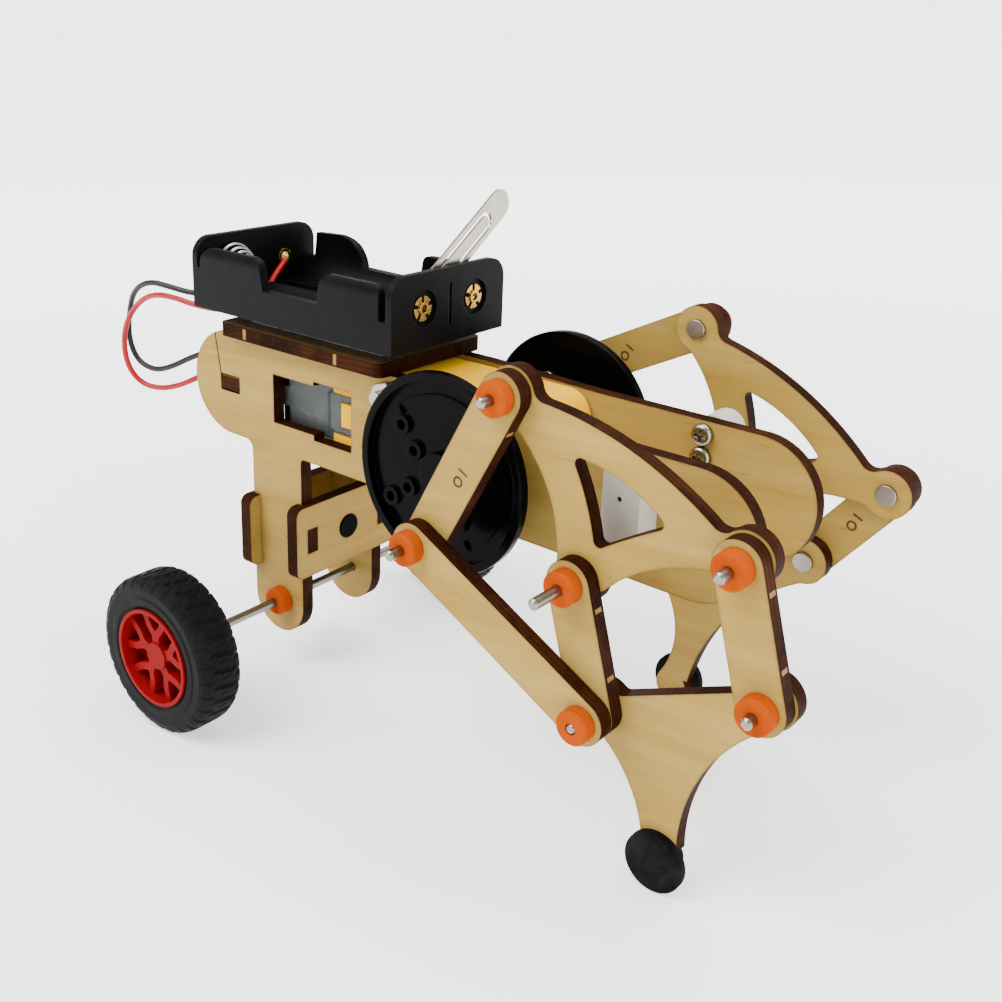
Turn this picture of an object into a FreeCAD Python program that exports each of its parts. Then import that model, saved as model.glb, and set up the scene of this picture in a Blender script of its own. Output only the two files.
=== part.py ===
import FreeCAD, Part
import math
import os

os.makedirs("parts", exist_ok=True)
V = FreeCAD.Vector

# ---------------------------------------------------------------------------
# Walking robot dog: laser-cut plywood body, yellow geared motor, two linkage
# legs in front and two plain wheels behind.  Millimetres and degrees.
# Everything is laid out in the body frame (X forward, Y to the dog's left,
# Z up, origin on the output shaft axis) and is then pitched nose-down by
# BODY_PITCH and lifted so that the tyres and the right foot stand on Z = 0.
# ---------------------------------------------------------------------------
PLY = 3.0                 # plywood thickness
FRAME_IN = 9.45           # inner face of a side frame, |y|
FRAME_OUT = FRAME_IN + PLY
BODY_PITCH = 3.04         # nose-down stance of the body
GROUND = -60.64            # z of the standing surface after pitching
CENTRE_X = -2.314         # x of the footprint's centre after pitching

# rear wheels
AXLE = (-52.6, -46.5)     # rear axle, (x, z)
AXLE_R = 1.0
TYRE_R = 17.0
RIM_R = 10.4
WHEEL_OUT = 48.6          # outer face of the rim, |y|
TYRE_W = 9.9

# crank and leg linkage, all in the x-z plane
CRANK_R = 9.7
CRANK_A = -60.5           # right crank pin angle; the left one is opposite
PIVOT = (35.9, -6.75)     # fixed leg pivot
BAR_B, ANG_B = 32.4, 117.9    # rocker arm to the upper joint
BAR_D, ANG_D = 31.9, 23.5     # rocker arm to the front joint
BAR_C, ANG_C = 22.45, -74.1   # rear leg link
LINK_W = 4.2              # half width of a link
LOBE = 4.6                # lobe radius of the rocker and foot plates
PIN_R = 1.0
PIN_HOLE = 1.04           # running hole in plywood
OPEN_A = 2.45             # open pivot, upper link at the crank pin
OPEN_K = 2.05             # open pivot, lower link at the crank pin
BUSH_R = 3.1
BUSH_L = 2.6
DISC_R = 19.35
DISC_IN, DISC_OUT = 19.4, 21.6   # faces of a crank disc, |y|
Y2 = 24.6                 # inner face of the rocker and foot layer
Y3 = 27.8                 # inner face of the link layer
Y4 = 31.0                 # inner face of the lower link layer

# battery holder for two AA cells
HOLD_X0, HOLD_X1 = -73.7, -15.9
HOLD_W = 17.0             # half width
HOLD_Z0, HOLD_Z1 = 18.2, 33.2
LEVER_A = 34.6            # open angle of the switch lever
LEVER_PIVOT = (-18.2, -7.7, 26.1)
LEVER_NECK = 1.24         # eyelet neck that the lever turns on
LEVER_BORE = 1.30

# deck and body plates
DECK_W = 15.6
DECK_X0, DECK_X1 = -67.3, -20.2
BODY_TOP = 12.7

WIRE_D = 1.3


# ---------------------------------------------------------------- helpers
def pol(o, r, a):
    return (o[0] + r * math.cos(math.radians(a)), o[1] + r * math.sin(math.radians(a)))


def ang(a, b):
    return math.degrees(math.atan2(b[1] - a[1], b[0] - a[0]))


def dist(a, b):
    return math.hypot(a[0] - b[0], a[1] - b[1])


def circles(p0, r0, p1, r1, sign):
    dx, dz = p1[0] - p0[0], p1[1] - p0[1]
    D = math.hypot(dx, dz)
    a = (r0 * r0 - r1 * r1 + D * D) / (2 * D)
    h = math.sqrt(r0 * r0 - a * a)
    ux, uz = dx / D, dz / D
    return (p0[0] + a * ux - sign * h * uz, p0[1] + a * uz + sign * h * ux)


def wire_xz(path, y):
    """path: start point, then ('L', p) or ('A', mid, end); closed."""
    edges = []
    cur = path[0]
    v3 = lambda p: V(p[0], y, p[1])
    for seg in list(path[1:]) + [("L", path[0])]:
        end = seg[-1]
        if dist(cur, end) < 1e-6:
            continue
        if seg[0] == "L":
            edges.append(Part.LineSegment(v3(cur), v3(end)).toShape())
        else:
            edges.append(Part.Arc(v3(cur), v3(seg[1]), v3(end)).toShape())
        cur = end
    return Part.Wire(edges)


def plate(path, y0, y1):
    if y1 < y0:
        y0, y1 = y1, y0
    return Part.Face(wire_xz(path, y0)).extrude(V(0, y1 - y0, 0))


def cyl(p, r, y0, y1):
    if y1 < y0:
        y0, y1 = y1, y0
    return Part.makeCylinder(r, y1 - y0, V(p[0], y0, p[1]), V(0, 1, 0))


def cone(p, r0, r1, y0, y1):
    """Cone from y0 (radius r0) to y1 (radius r1)."""
    d = 1 if y1 > y0 else -1
    return Part.makeCone(r0, r1, abs(y1 - y0), V(p[0], y0, p[1]), V(0, d, 0))


def box(x0, x1, y0, y1, z0, z1):
    if y1 < y0:
        y0, y1 = y1, y0
    return Part.makeBox(x1 - x0, y1 - y0, z1 - z0, V(x0, y0, z0))


def fuse(*s):
    r = s[0].multiFuse(list(s[1:])) if len(s) > 1 else s[0]
    return r.removeSplitter()


def bar(a, b, r, y0, y1):
    """Straight link with round ends of radius r."""
    t = math.radians(ang(a, b))
    n = (-math.sin(t) * r, math.cos(t) * r)
    u = (math.cos(t) * r, math.sin(t) * r)
    p = [(a[0] + n[0], a[1] + n[1]),
         ("A", (a[0] - u[0], a[1] - u[1]), (a[0] - n[0], a[1] - n[1])),
         ("L", (b[0] - n[0], b[1] - n[1])),
         ("A", (b[0] + u[0], b[1] + u[1]), (b[0] + n[0], b[1] + n[1]))]
    return plate(p, y0, y1)


def vertical_edges(s, pts, tol=0.35):
    out = []
    for e in s.Edges:
        if len(e.Vertexes) != 2:
            continue
        p, q = e.Vertexes[0].Point, e.Vertexes[1].Point
        if abs(p.x - q.x) > 1e-4 or abs(p.z - q.z) > 1e-4:
            continue
        if any(math.hypot(p.x - a[0], p.z - a[1]) < tol for a in pts):
            out.append(e)
    return out


def concave_edges(s, r, skip=None):
    """Every sharp inside corner edge running along Y."""
    out = []
    for e in s.Edges:
        if len(e.Vertexes) != 2:
            continue
        p, q = e.Vertexes[0].Point, e.Vertexes[1].Point
        if abs(p.x - q.x) > 1e-4 or abs(p.z - q.z) > 1e-4:
            continue
        if skip and any(math.hypot(p.x - a[0], p.z - a[1]) < 1.0 for a in skip):
            continue
        m = V(p.x, (p.y + q.y) / 2, p.z)
        n = 0
        for i in range(24):
            a = 2 * math.pi * i / 24
            if s.isInside(V(m.x + 0.12 * math.cos(a), m.y, m.z + 0.12 * math.sin(a)), 1e-4, True):
                n += 1
        if n >= 15:
            out.append(e)
    return out


def fillet(s, edges, r):
    if not edges:
        return s
    try:
        t = s.makeFillet(r, edges)
        if t.isValid() and t.Volume > 0:
            return t
    except Exception:
        pass
    for e in edges:
        try:
            t = s.makeFillet(r, [e])
            if t.isValid() and t.Volume > 0:
                s = t
        except Exception:
            pass
    return s


def one(s):
    """The single solid of a boolean result."""
    if len(s.Solids) != 1:
        raise RuntimeError("expected one solid, found %d" % len(s.Solids))
    return s.Solids[0]


def mirror(s):
    return s.mirror(V(0, 0, 0), V(0, 1, 0))


NODES = {}


def node(name, *solids):
    flat = []
    for s in solids:
        flat += s.Solids
    NODES[name] = flat


# ---------------------------------------------------------------- linkage
PIV = PIVOT
A_R = pol((0, 0), CRANK_R, CRANK_A)
T_R = pol(PIV, BAR_B, ANG_B)
K_R = pol(PIV, BAR_C, ANG_C)
F_R = pol(PIV, BAR_D, ANG_D)
G_R = (F_R[0] + K_R[0] - PIV[0], F_R[1] + K_R[1] - PIV[1])
BAR_J = dist(A_R, T_R)    # upper link
BAR_K = dist(A_R, K_R)    # lower link
A_L = (-A_R[0], -A_R[1])
T_L = circles(A_L, BAR_J, PIV, BAR_B, 1)
K_L = circles(A_L, BAR_K, PIV, BAR_C, -1)
SWING = ang(PIV, T_L) - ANG_B          # left rocker against the right one
F_L = pol(PIV, BAR_D, ANG_D + SWING)
G_L = (F_L[0] + K_L[0] - PIV[0], F_L[1] + K_L[1] - PIV[1])
SIDES = {
    "right": dict(s=-1, A=A_R, T=T_R, K=K_R, F=F_R, G=G_R, swing=0.0),
    "left": dict(s=1, A=A_L, T=T_L, K=K_L, F=F_L, G=G_L, swing=SWING),
}


def turn(s, about, a):
    """Turn a solid in the x-z plane, counter-clockwise with x right and z up."""
    s = s.copy()
    s.rotate(V(about[0], 0, about[1]), V(0, -1, 0), a)
    return s


# rocker: three lobes, curved outer edge, triangular window
def rocker(s):
    a, b = s * Y2, s * (Y2 + PLY)
    arc_body = plate([
        (21.4, 20.8),
        ("L", (22.9, 21.7)),
        ("A", (42.4, 18.3), (61.3, 7.9)),
        ("L", (66.2, 4.2)),
        ("L", (62.6, 2.4)),
        ("A", (50.2, -0.5), (40.9, -7.4)),
        ("L", (35.4, -9.4)),
        ("L", (31.4, -6.0)),
        ("A", (28.6, 7.6), (20.2, 17.4)),
    ], a, b)
    body = fuse(arc_body, cyl(T_R, LOBE, a, b), cyl(PIV, LOBE, a, b), cyl(F_R, LOBE, a, b))
    body = one(body)
    body = fillet(body, concave_edges(body, 2.4), 2.4)
    win = plate([
        (33.1, 14.2),
        ("A", (43.3, 12.1), (51.8, 6.9)),
        ("A", (44.8, 3.0), (38.7, -0.9)),
        ("A", (36.5, 7.1), (33.1, 14.2)),
    ], a - s, b + s)
    win = fillet(win, [e for e in win.Edges if len(e.Vertexes) == 2 and abs(e.Vertexes[0].Y - e.Vertexes[1].Y) > 1], 1.1)
    body = body.cut(win)
    for p in (T_R, PIV, F_R):
        body = body.cut(cyl(p, PIN_HOLE if p is PIV else PIN_R, a - s, b + s))
    return one(body)


# foot plate: straight top edge between the two lobes and a waisted toe
def foot(s, toe):
    a, b = s * Y2, s * (Y2 + PLY)
    u = ((G_R[0] - K_R[0]) / BAR_D, (G_R[1] - K_R[1]) / BAR_D)
    n = (-u[1], u[0])
    up = 1.7
    k1 = (K_R[0] + 2.6 * u[0] + up * n[0], K_R[1] + 2.6 * u[1] + up * n[1])
    g1 = (G_R[0] - 1.0 * u[0] + up * n[0], G_R[1] - 1.0 * u[1] + up * n[1])
    main = plate([
        k1,
        ("L", g1),
        ("L", (G_R[0] + 2.0, G_R[1] - 3.6)),
        ("A", (63.3, -29.6), (toe[0] + 3.4, toe[1] + 2.6)),
        ("L", (toe[0] - 3.2, toe[1] + 1.4)),
        ("A", (49.0, -41.4), (K_R[0] - 3.2, K_R[1] - 2.9)),
        ("L", (K_R[0] + 0.3, K_R[1] + 1.0)),
    ], a, b)
    body = one(fuse(main, cyl(K_R, LOBE, a, b), cyl(G_R, LOBE, a, b), cyl(toe, 3.45, a, b)))
    body = fillet(body, concave_edges(body, 1.2), 1.2)
    for p in (K_R, G_R):
        body = body.cut(cyl(p, PIN_R, a - s, b + s))
    return one(body)


TOE = {"right": (54.9, -52.3), "left": (52.0, -56.5)}   # pad centres, both feet on the floor
PAD_R = 5.5
PAD_T = 1.6


def pin(p, s, y_head, y_end, head_r=2.0, head_t=0.8):
    """Round nail: flat head inside, plain shank with a domed end outside."""
    h = cyl(p, head_r, s * (y_head - head_t), s * y_head)
    h = h.makeFillet(0.25, [e for e in h.Edges if e.Curve.TypeId == "Part::GeomCircle"
                            and abs(abs(e.Curve.Center.y) - (y_head - head_t)) < 1e-3])
    shank = cyl(p, PIN_R, s * (y_head - 0.1), s * (y_end - 0.35))
    tip = cone(p, PIN_R, PIN_R - 0.35, s * (y_end - 0.35), s * y_end)
    return one(fuse(h, shank, tip))


def bush(p, s, y0, length=BUSH_L, r=BUSH_R):
    """Nylon push-on bush with a lead-in chamfer at its outer end."""
    b = cyl(p, r, s * y0, s * (y0 + length - 0.4))
    c = cone(p, r, r - 0.4, s * (y0 + length - 0.4), s * (y0 + length))
    return one(fuse(b, c).cut(cyl(p, PIN_R, s * (y0 - 1), s * (y0 + length + 1))))


for side, d in SIDES.items():
    s, A, T, K, F, G, sw = d["s"], d["A"], d["T"], d["K"], d["F"], d["G"], d["swing"]
    # rocker and foot keep the same angle because the links are parallel
    node("rocker_" + side, turn(rocker(s), PIV, sw))
    ft = foot(s, TOE[side])
    pad = cyl(TOE[side], PAD_R, s * (Y2 + PLY), s * (Y2 + PLY + PAD_T))
    pad = pad.makeFillet(0.5, [e for e in pad.Edges if e.Curve.TypeId == "Part::GeomCircle"
                               and abs(abs(e.Curve.Center.y) - (Y2 + PLY + PAD_T)) < 1e-3])
    move = V(K[0] - K_R[0], 0, K[1] - K_R[1])
    for nm, shp in (("foot_" + side, ft), ("foot_pad_" + side, pad)):
        shp = shp.copy()
        shp.translate(move)
        node(nm, turn(shp, K, sw))
    # links
    up = bar(A, T, LINK_W, s * Y3, s * (Y3 + PLY))
    node("upper_link_" + side, one(up.cut(cyl(A, OPEN_A, s * (Y3 - 1), s * (Y3 + 9))).cut(cyl(T, PIN_HOLE, s * (Y3 - 1), s * (Y3 + 9)))))
    lo = bar(A, K, LINK_W, s * Y4, s * (Y4 + PLY))
    node("lower_link_" + side, one(lo.cut(cyl(A, OPEN_K, s * (Y4 - 1), s * (Y4 + 9))).cut(cyl(K, PIN_HOLE, s * (Y4 - 1), s * (Y4 + 9)))))
    rl = bar(PIV, K, LINK_W, s * Y3, s * (Y3 + PLY))
    node("rear_link_" + side, one(rl.cut(cyl(PIV, PIN_HOLE, s * (Y3 - 1), s * (Y3 + 9))).cut(cyl(K, PIN_HOLE, s * (Y3 - 1), s * (Y3 + 9)))))
    fl = bar(F, G, LINK_W, s * Y3, s * (Y3 + PLY))
    node("front_link_" + side, one(fl.cut(cyl(F, PIN_HOLE, s * (Y3 - 1), s * (Y3 + 9))).cut(cyl(G, PIN_HOLE, s * (Y3 - 1), s * (Y3 + 9)))))
    # pins and bushes
    node("rocker_pins_" + side, pin(T, s, Y2, 36.2), pin(F, s, Y2, 36.5))
    node("rocker_bushes_" + side, bush(T, s, Y3 + PLY + 0.15), bush(F, s, Y3 + PLY + 0.15))
    node("foot_pins_" + side, pin(K, s, Y2, Y4 + PLY + 0.15 + BUSH_L), pin(G, s, Y2, 35.6))
    node("foot_bushes_" + side, bush(K, s, Y4 + PLY + 0.15), bush(G, s, Y3 + PLY + 0.15))


# ---------------------------------------------------------------- crank
def crank_disc(s, A):
    """Pulley-like disc: flat inside, rim, groove and plateau with pin bosses outside."""
    d = cyl((0, 0), DISC_R, s * DISC_IN, s * DISC_OUT)
    d = d.makeFillet(0.4, [e for e in d.Edges if e.Curve.TypeId == "Part::GeomCircle"])
    d = d.cut(cyl((0, 0), 17.6, s * 20.0, s * (DISC_OUT + 1)))
    plateau = cyl((0, 0), 15.0, s * (DISC_IN + 0.1), s * 20.5)
    hub = fuse(cyl((0, 0), 4.6, s * 12.7, s * 20.5), cyl((0, 0), 4.2, s * 20.0, s * 21.9))
    # pin bosses in two rows, one of them under the crank pin
    k = 1 if s < 0 else -1
    spare = [(k * x, k * z) for x, z in ((-9.3, 7.5), (-6.2, 3.1), (-7.6, -4.6), (-11.8, -7.5))]
    bosses = [cyl(p, 1.9, s * 20.0, s * 21.3) for p in spare + [A]]
    d = fuse(d, plateau, hub, *bosses)
    for p in spare:
        d = d.cut(cyl(p, PIN_R, s * (DISC_IN + 0.3), s * 23))
    d = d.cut(cyl(A, PIN_R, s * (DISC_IN - 1), s * 23))
    # blind rectangular pockets
    for x, z in ((-8.5, 11.5), (-12.4, -11.3), (8.2, -11.5)):
        c = (k * x, k * z)
        r = math.hypot(*c)
        y0, y1 = sorted((s * 19.8, s * 21.0))
        pk = Part.makeBox(2.2, y1 - y0, 4.6, V(r - 1.1, y0, -2.3))
        d = d.cut(turn(pk, (0, 0), math.degrees(math.atan2(c[1], c[0]))))
    # bore for the flatted shaft
    bore = cyl((0, 0), 2.7, s * 12, s * 21.0).common(box(-4, 4, s * 12, s * 21.0, -1.85, 1.85))
    d = d.cut(bore)
    return one(d)


node("crank_discs", crank_disc(-1, A_R), crank_disc(1, A_L))
node("crank_pins", *[pin(A, s, DISC_IN, 39.9, 1.9, 0.8) for s, A in ((-1, A_R), (1, A_L))])
node("crank_bushes", *[bush(A, s, Y4 + PLY + 0.15) for s, A in ((-1, A_R), (1, A_L))])


def gear(p, n, m, y0, y1, phase=0.0, extra=0.0):
    """Straight-toothed gear with trapezoid teeth, axis along Y."""
    ro, ri = m * n / 2.0 + m, m * n / 2.0 - 1.1 * m
    pts = []
    for i in range(n):
        c = 360.0 * i / n + phase
        w = 360.0 / n
        for f, r in ((-0.30, ri), (-0.13, ro), (0.13, ro), (0.30, ri)):
            pts.append(pol(p, r, c + f * w))
    path = [pts[0]] + [("L", q) for q in pts[1:]]
    return plate(path, y0, y1)


# gear train: motor pinion -> crown gear -> compound gear -> output gear
MOD = 0.5
X_COMP = -12.1
X_CROWN = -23.45
GEARS = dict(out=35, comp=32, crown=26, pinion=9, motor=8)
shaft = cyl((0, 0), 2.7, -18.3, 18.3)
flats = box(-4, 4, -19, -9.6, -1.8, 1.8)
flats2 = box(-4, 4, 9.6, 19, -1.8, 1.8)
mid = cyl((0, 0), 2.7, -9.6, 9.6)
shaft = fuse(mid, shaft.common(flats), shaft.common(flats2), gear((0, 0), GEARS["out"], MOD, -6.6, -3.4))
node("output_shaft", one(shaft))
comp = fuse(gear((X_COMP, 0), GEARS["comp"], MOD, 4.9, 7.2), gear((X_COMP, 0), GEARS["pinion"], MOD, -7.2, 5.0, 7.0))
node("compound_gear", one(comp.cut(cyl((X_COMP, 0), 1.05, -9, 9))))
crown = fuse(cyl((X_CROWN, 0), 6.3, 3.5, 4.5), gear((X_CROWN, 0), GEARS["pinion"], MOD, 4.4, 7.4, 3.0))
teeth = []
for i in range(GEARS["crown"]):
    a = 360.0 * i / GEARS["crown"]
    t = Part.makeBox(1.6, 1.2, 0.62, V(X_CROWN + 5.0, 2.65, -0.31))
    teeth.append(turn(t, (X_CROWN, 0), a))
crown = crown.fuse(cyl((X_CROWN, 0), 6.6, 3.4, 4.5)).multiFuse(teeth)
node("crown_gear", one(crown.removeSplitter().cut(cyl((X_CROWN, 0), 1.05, -9, 9))))
node("gear_pins", cyl((X_COMP, 0), 1.0, -9.0, 9.0), cyl((X_CROWN, 0), 1.0, -9.0, 9.0))

# ---------------------------------------------------------------- gearbox
SCREWS = [(-20.5, 8.75), (-20.5, -8.75)]
GB_X0, GB_X1 = -39.6, 13.0        # rear and front end of the gearbox
GB_TOP, GB_BOT, GB_CORNER = 11.95, -11.2, 5.5


def gearbox_outline(g):
    """Outline of the gearbox, drawn g inside its outer face."""
    x, t, b, r = GB_X1 - GB_CORNER, GB_TOP, GB_BOT, GB_CORNER - g
    h = r * math.sqrt(0.5)
    return [(GB_X0 + g, t - g), ("L", (x, t - g)), ("A", (x + h, t - GB_CORNER + h), (GB_X1 - g, t - GB_CORNER)),
            ("L", (GB_X1 - g, b + GB_CORNER)), ("A", (x + h, b + GB_CORNER - h), (x, b + g)), ("L", (GB_X0 + g, b + g))]


def shell(s):
    outer = plate(gearbox_outline(0), 0, s * 9.35)
    outer = fillet(outer, [e for e in outer.Edges if e.Length > 20 and abs(abs(e.BoundBox.Center.y) - 9.35) < 0.01], 0.8)
    inner = plate(gearbox_outline(1.3), s * -0.5, s * 8.1)
    b = outer.cut(inner)
    b = b.cut(cyl((0, 0), 2.78, 0, s * 12))
    for p in SCREWS:
        b = b.cut(cyl(p, 1.55, -s, s * 12))
    for x in (X_COMP, X_CROWN):
        b = b.cut(cyl((x, 0), 1.0, 0, s * 9.0))
    b = b.cut(motor_profile(-45, -33.2, 10.25, 7.75))
    # seat for the motor strap, with the lug that its window hooks over
    b = b.cut(box(GB_X0 - 1, -29.0, s * 8.65, s * 12, -4.6, 4.6))
    b = b.fuse(box(-37.0, -33.4, s * 8.5, s * 9.3, -2.6, 2.6)).removeSplitter()
    return one(b)


def motor_profile(x0, x1, r, half):
    c = Part.makeCylinder(r, x1 - x0, V(x0, 0, 0), V(1, 0, 0))
    return c.common(box(x0 - 1, x1 + 1, -half, half, -12, 12))


node("gearbox_shell_right", shell(-1))
node("gearbox_shell_left", shell(1))

can_o = motor_profile(-50.0, -33.3, 10.1, 7.6)
can_i = motor_profile(-51.0, -33.9, 9.5, 7.0)
can = can_o.cut(can_i)
snout = Part.makeCylinder(3.0, 1.4, V(-33.4, 0, 0), V(1, 0, 0))
can = fuse(can, snout).cut(Part.makeCylinder(1.05, 6, V(-35, 0, 0), V(1, 0, 0)))
node("motor_can", one(can))
cap_i = motor_profile(-50.6, -48.0, 9.45, 6.95)
cap_o = motor_profile(-56.2, -50.0, 10.1, 7.6)
cap = fuse(cap_o, cap_i).cut(Part.makeCylinder(1.05, 11, V(-58, 0, 0), V(1, 0, 0)))
cap = cap.cut(motor_profile(-51.6, -47, 8.4, 5.9))
TERMS = [(-56.2, 4.6, 3.4), (-56.2, -4.6, 3.4)]
node("motor_end_cap", one(cap))
terms = []
for x, y, z in TERMS:
    t = box(-57.4, x, y - 1.3, y + 1.3, z - 0.25, z + 0.25)
    terms.append(t)
node("motor_terminals", *terms)
rotor = Part.makeCylinder(1.0, 25.6, V(-53.0, 0, 0), V(1, 0, 0))
arm = Part.makeCylinder(6.0, 9.0, V(-46.5, 0, 0), V(1, 0, 0))
for i in range(3):
    g = Part.makeBox(11, 1.0, 3.0, V(-47.5, -0.5, 4.2))
    g.rotate(V(0, 0, 0), V(1, 0, 0), 120 * i)
    arm = arm.cut(g)
comm = Part.makeCylinder(2.3, 3.0, V(-50.6, 0, 0), V(1, 0, 0))
pin8 = gear((0, 0), GEARS["motor"], MOD, -31.2, -27.4)
pin8.rotate(V(0, 0, 0), V(0, 0, 1), -90)
rotor = fuse(rotor, arm, comm, pin8)
node("motor_rotor", one(rotor))

# clear strap round the back of the motor, hooked to lugs on the gearbox
straps = [box(-56.8, -56.2, -8.35, 8.35, -2.2, 2.2)]
for s in (-1, 1):
    straps.append(box(-56.8, -40.0, s * 7.85, s * 8.35, -6.5, 6.5).cut(
        fuse(box(-57.8, -53.6, s * 7, s * 9, 2.2, 8), box(-57.8, -53.6, s * 7, s * 9, -8, -2.2))))
    straps.append(box(-41.0, -40.0, s * 7.85, s * 9.25, -4.2, 4.2))
    straps.append(box(-41.0, -29.6, s * 8.75, s * 9.25, -4.2, 4.2))
strap = fuse(*straps)
for s in (-1, 1):
    strap = strap.cut(box(-37.3, -33.1, s * 8.6, s * 12, -2.9, 2.9))
node("motor_strap", one(strap))

# ---------------------------------------------------------------- side frames
BLOCK_SCREWS = [(37.1, 9.2), (37.1, 4.8)]
# cross plates: rear face x, plate z range, slot z range, centre hole z and radius
CROSS = {"front": (-47.3, (-38.6, -22.0), (-33.1, -27.4), -30.25, 2.8),
         "rear": (-62.3, (-39.8, -23.2), (-35.2, -27.9), -31.5, 2.3)}


def side_frame(s):
    a, b = s * FRAME_IN, s * FRAME_OUT
    path = [
        (-68.0, BODY_TOP),
        ("A", (-79.75, 0.95), (-68.0, -10.8)),
        ("L", (-63.6, -10.8)),
        ("A", (-62.0, -11.5), (-61.4, -13.2)),
        ("L", (-61.4, -47.0)),
        ("A", (-53.75, -54.65), (-46.1, -47.0)),
        ("L", (-46.1, -12.4)),
        ("A", (-45.8, -11.7), (-45.1, -11.4)),
        ("L", (48.4, -12.3)),
        ("A", (60.35, -0.3), (48.4, 11.7)),
        ("L", (14.0, 11.85)),
        ("L", (-14.0, BODY_TOP)),
    ]
    f = plate(path, a, b)
    # motor window with its two small steps
    f = f.cut(box(-54.2, -41.8, a - s, b + s, -4.9, 5.9))
    f = f.cut(box(-41.9, -31.0, a - s, b + s, -6.1, 6.8))
    # tail plate slot and the spring cut above it
    f = f.cut(box(-71.3, -65.1, a - s, b + s, -1.1, 2.7))
    cut = plate([(-73.35, 14.0), ("L", (-73.05, 14.0)), ("L", (-71.0, 2.4)), ("L", (-71.3, 2.4))], a - s, b + s)
    f = f.cut(cut)
    for p in SCREWS:
        f = f.cut(cyl(p, 1.6, a - s, b + s))
    f = f.cut(cyl((0, 0), 4.0, a - s, b + s))
    f = f.cut(cyl(AXLE, AXLE_R + 0.06, a - s, b + s))
    f = f.cut(cyl(PIV, PIN_R, a - s, b + s))
    for p in BLOCK_SCREWS:
        f = f.cut(cyl(p, 1.0, a - s, b + s))
    # notches that the cross plates sit in, and the tenons between them
    ten = []
    for x0, (z0, z1), (t0, t1), zc, r in CROSS.values():
        n0, n1 = (x0, -46.0) if x0 > -55 else (-61.5, x0 + PLY)
        for c0, c1 in ((z0, t0), (t1, z1)):
            f = f.cut(box(n0, n1, a - s, b + s, c0, c1))
        ten.append(box(x0, x0 + PLY, a, b, t0, t1))
    return one(fuse(f, *ten))


node("side_frame_right", side_frame(-1))
node("side_frame_left", side_frame(1))


def cross_plate(x0, zr, slot, zc, rc):
    """Upright plate across the rear legs, pushed over both leg tenons."""
    w, r = DECK_W, 1.9
    p = box(x0, x0 + PLY, -w, w, zr[0], zr[1])
    p = p.makeFillet(r, [e for e in p.Edges if abs(e.Length - PLY) < 1e-6])
    for s in (-1, 1):
        p = p.cut(box(x0 - 1, x0 + PLY + 1, s * FRAME_IN, s * FRAME_OUT, slot[0], slot[1]))
    p = p.cut(Part.makeCylinder(rc, PLY + 2, V(x0 - 1, 0, zc), V(1, 0, 0)))
    return one(p)


node("cross_plate_front", cross_plate(*CROSS["front"]))
node("cross_plate_rear", cross_plate(*CROSS["rear"]))
plugs = []
for key, d in (("front", 1), ("rear", -1)):
    x0, zc, rc = CROSS[key][0], CROSS[key][3], CROSS[key][4]
    pl = Part.makeCylinder(rc, PLY + 0.3, V(x0 if d > 0 else x0 - 0.3, 0, zc), V(1, 0, 0))
    face = x0 + PLY + 0.3 if d > 0 else x0 - 0.3
    pl = pl.makeFillet(0.3, [e for e in pl.Edges if e.Curve.TypeId == "Part::GeomCircle" and abs(e.Curve.Center.x - face) < 1e-3])
    plugs.append(pl)
node("plate_plugs", *plugs)

tail = box(-71.2, -65.2, -FRAME_OUT, FRAME_OUT, -0.7, 2.3)
tail = fuse(tail, box(-74.4, -62.0, -FRAME_IN, FRAME_IN, -0.7, 2.3))
node("tail_plate", one(tail))

deck = box(DECK_X0, DECK_X1, -DECK_W, DECK_W, BODY_TOP, BODY_TOP + PLY)
deck = deck.makeFillet(1.6, [e for e in deck.Edges if abs(e.Length - PLY) < 1e-6])
node("deck_plate", deck)
node("foam_tape", box(-62.0, -24.0, -11.0, 11.0, BODY_TOP + PLY, HOLD_Z0))

# ---------------------------------------------------------------- battery holder
H = box(HOLD_X0, HOLD_X1, -HOLD_W, HOLD_W, HOLD_Z0, HOLD_Z1)
H = H.makeFillet(4.2, [e for e in H.Edges if abs(e.Length - (HOLD_X1 - HOLD_X0)) < 1e-6 and e.BoundBox.Center.z > 30])
CELL_R = 7.35
WALL_X0, WALL_X1 = HOLD_X0 + 1.6, HOLD_X1 - 1.6
for y in (-7.7, 7.7):
    c = Part.makeCylinder(CELL_R, WALL_X1 - WALL_X0, V(WALL_X0, y, HOLD_Z0 + 1.5 + CELL_R), V(1, 0, 0))
    H = H.cut(c)
    H = H.cut(box(WALL_X0, WALL_X1, y - CELL_R, y + CELL_R, HOLD_Z0 + 1.5 + CELL_R, HOLD_Z1 + 1))
H = H.cut(box(WALL_X0, WALL_X1, -1.9, 1.9, HOLD_Z0 + 3.2, HOLD_Z1 + 1))
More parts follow.
